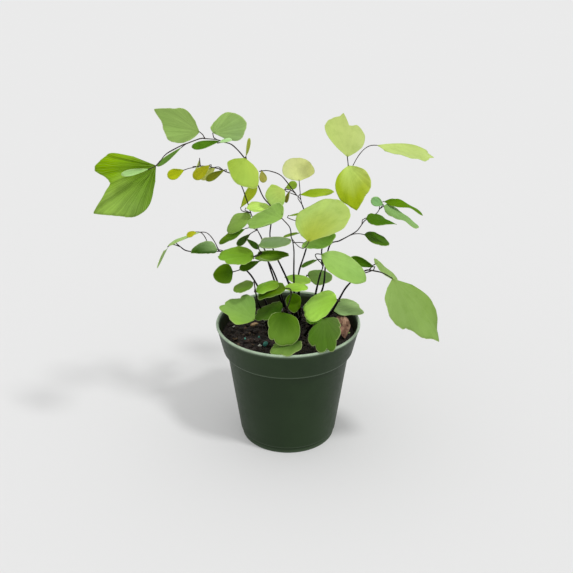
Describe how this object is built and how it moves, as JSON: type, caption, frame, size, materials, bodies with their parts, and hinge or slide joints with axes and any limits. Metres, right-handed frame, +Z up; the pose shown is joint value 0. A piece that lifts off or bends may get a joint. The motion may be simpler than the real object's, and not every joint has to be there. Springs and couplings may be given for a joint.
{
  "type": "potted fern",
  "caption": "Maidenhair fern with fan-shaped leaflets on wiry dark stems, growing in a round tapered plastic nursery pot with a collar and filled with soil.",
  "frame": {"origin": "on the pot's axis, at the level of the ground that the pot stands on", "axes": "+Z up along the pot's axis, -Y towards the viewer of the picture, +X to the viewer's right"},
  "size_m": [0.2302, 0.1207, 0.2504],
  "materials": {
    "pot": "satin dark green moulded plastic",
    "soil": "damp potting mix of peat and bark crumbs",
    "stem": "glossy black-brown wiry stem",
    "leaf_green": "mid green leaf, satin, fine radiating veins",
    "leaf_lime": "yellow-green young leaf, satin",
    "leaf_pale": "grey-green leaf, satin",
    "leaf_dark": "dark green leaf, satin",
    "dead_leaf": "dry tan leaf, matte",
    "wood_chip": "raw wood, matte"
  },
  "bodies": {
    "root": {"dead_leaflet": "dead_leaf", "leaf_arch_left_1": "leaf_green", "leaf_arch_left_2": "leaf_pale", "leaf_arch_left_3": "leaf_pale", "leaf_arch_left_4": "leaf_lime", "leaf_back_1": "leaf_lime", "leaf_back_2": "leaf_lime", "leaf_back_3": "leaf_lime", "leaf_back_low_1": "leaf_pale", "leaf_back_low_2": "leaf_green", "leaf_centre_1": "leaf_pale", "leaf_centre_2": "leaf_lime", "leaf_centre_3": "leaf_green", "leaf_front_1": "leaf_green", "leaf_front_2": "leaf_green", "leaf_front_3": "leaf_green", "leaf_front_4": "leaf_pale", "leaf_front_5": "leaf_dark", "leaf_front_left_1": "leaf_green", "leaf_front_left_2": "leaf_green", "leaf_front_left_3": "leaf_green", "leaf_front_right_1": "leaf_lime", "leaf_front_right_2": "leaf_green", "leaf_left_low_1": "leaf_dark", "leaf_left_low_2": "leaf_pale", "leaf_left_low_3": "leaf_dark", "leaf_middle_1": "leaf_pale", "leaf_middle_2": "leaf_green", "leaf_middle_3": "leaf_green", "leaf_middle_4": "leaf_lime", "leaf_right_high_1": "leaf_lime", "leaf_right_high_2": "leaf_lime", "leaf_right_high_3": "leaf_lime", "leaf_right_high_4": "leaf_green", "leaf_right_low_1": "leaf_green", "leaf_right_low_2": "leaf_green", "leaf_right_low_3": "leaf_pale", "leaf_right_mid_1": "leaf_pale", "leaf_right_mid_2": "leaf_dark", "leaf_right_mid_3": "leaf_dark", "leaf_right_mid_4": "leaf_dark", "leaf_sprig_left_1": "leaf_lime", "leaf_sprig_left_2": "leaf_pale", "leaf_sprig_left_3": "leaf_green", "pot": "pot", "soil": "soil", "stem_arch_left": "stem", "stem_back": "stem", "stem_back_low": "stem", "stem_centre": "stem", "stem_front": "stem", "stem_front_left": "stem", "stem_front_right": "stem", "stem_left_low": "stem", "stem_middle": "stem", "stem_right_high": "stem", "stem_right_low": "stem", "stem_right_mid": "stem", "stem_sprig_left": "stem", "wood_chip": "wood_chip"}
  },
  "joints": []
}
